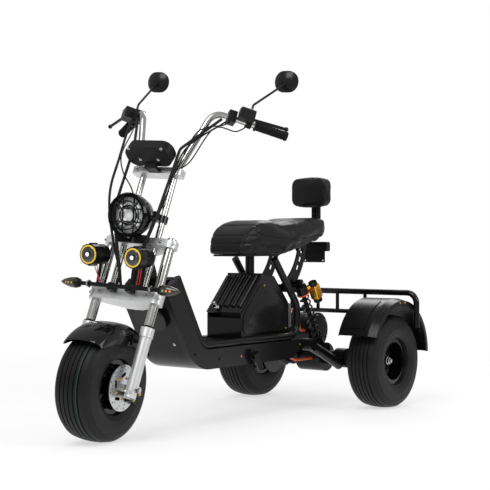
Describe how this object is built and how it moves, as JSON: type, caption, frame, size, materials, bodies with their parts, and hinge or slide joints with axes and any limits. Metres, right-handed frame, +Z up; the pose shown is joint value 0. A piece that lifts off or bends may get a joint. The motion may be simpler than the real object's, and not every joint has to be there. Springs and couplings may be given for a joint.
{
  "type": "three-wheeled electric scooter",
  "caption": "Stand-over electric trike scooter with a raked steering fork, wide road tyres, a battery box under a padded seat with backrest, rear fenders and a tube cargo rack.",
  "frame": {"origin": "on the ground, under the middle of the overall box", "axes": "+X forwards, +Y to the rider's left, +Z up"},
  "size_m": [1.854, 0.9502, 1.4406],
  "materials": {
    "satin_black_paint": "satin",
    "gloss_black_paint": "gloss",
    "dark_grey_paint": "satin",
    "black_plastic": "matte",
    "black_metal": "black anodised",
    "grey_casting": "cast",
    "silver_casting": "polished",
    "chrome_tube": "polished",
    "disc_steel": "brushed",
    "gold_anodised": "gold anodised",
    "yellow_ring": "gloss",
    "lamp_glass": "clear",
    "mirror_face": "silvered",
    "rubber_mat": "matte",
    "orange_cable": "satin",
    "black_sleeve": "braided",
    "black_leatherette": "grained",
    "tyre_rubber": "matte"
  },
  "bodies": {
    "chassis": {"side_rails": "dark_grey_paint", "floor_panel": "black_plastic", "leg_shield": "gloss_black_paint", "horn": "gloss_black_paint", "frame_tubes": "satin_black_paint", "head_tube": "satin_black_paint", "deck_mat": "rubber_mat", "box_shell": "dark_grey_paint", "battery": "grey_casting", "seat_post": "satin_black_paint", "seat_pan": "satin_black_paint", "seat_cushion": "black_leatherette", "backrest_post": "satin_black_paint", "backrest_pad": "black_leatherette", "seat_brackets": "satin_black_paint", "tail_lamp": "black_plastic", "rear_arms": "satin_black_paint", "axle_housing": "satin_black_paint", "drive_motor": "black_metal", "shock_bodies": "black_metal", "shock_springs": "black_metal", "shock_reservoirs": "gold_anodised", "controller": "grey_casting", "power_cables": "orange_cable", "rear_fenders": "dark_grey_paint", "cargo_rack": "gloss_black_paint", "foot_pegs": "satin_black_paint"},
    "lid": {"box_lid": "dark_grey_paint"},
    "fork": {"lower_clamp": "silver_casting", "upper_clamp": "silver_casting", "stanchions": "chrome_tube", "sliders": "silver_casting", "front_axle": "chrome_tube", "riser_tubes": "chrome_tube", "bar_bracket": "silver_casting", "handlebar": "chrome_tube", "grips": "rubber_mat", "brake_levers": "black_plastic", "switch_blocks": "black_plastic", "mirrors": "black_plastic", "mirror_glass": "mirror_face", "headlight": "gloss_black_paint", "headlight_lens": "lamp_glass", "spot_lamps": "black_metal", "spot_rings": "yellow_ring", "lamp_bar": "satin_black_paint", "turn_signals": "black_plastic", "dash_pod": "black_plastic", "front_fender": "gloss_black_paint", "front_caliper": "black_metal", "cable_sleeves": "black_sleeve"},
    "front_wheel": {"front_tyre": "tyre_rubber", "front_rim": "gloss_black_paint", "front_disc": "disc_steel"},
    "rear_wheel_left": {"left_tyre": "tyre_rubber", "left_rim": "gloss_black_paint"},
    "rear_wheel_right": {"right_tyre": "tyre_rubber", "right_rim": "gloss_black_paint"}
  },
  "joints": [
    {"name": "steering", "type": "hinge", "parent": "chassis", "child": "fork", "pos_m": [0.5047, 0, 0.60003], "axis": [-0.3843, 0, 0.9232], "range_deg": [-44, 26]},
    {"name": "lid_hinge", "type": "hinge", "parent": "chassis", "child": "lid", "pos_m": [-0.14602, 0, 0.5845], "axis": [0, -1, 0], "range_deg": [0, 65]},
    {"name": "front_wheel_spin", "type": "hinge", "parent": "fork", "child": "front_wheel", "pos_m": [0.72342, 0.00782, 0.2031], "axis": [-0.1444, 0.9877, -0.0601], "continuous": true},
    {"name": "left_wheel_spin", "type": "hinge", "parent": "chassis", "child": "rear_wheel_left", "pos_m": [-0.68402, 0.353, 0.203], "axis": [0, 1, 0], "continuous": true},
    {"name": "right_wheel_spin", "type": "hinge", "parent": "chassis", "child": "rear_wheel_right", "pos_m": [-0.68402, -0.353, 0.203], "axis": [0, 1, 0], "continuous": true}
  ]
}
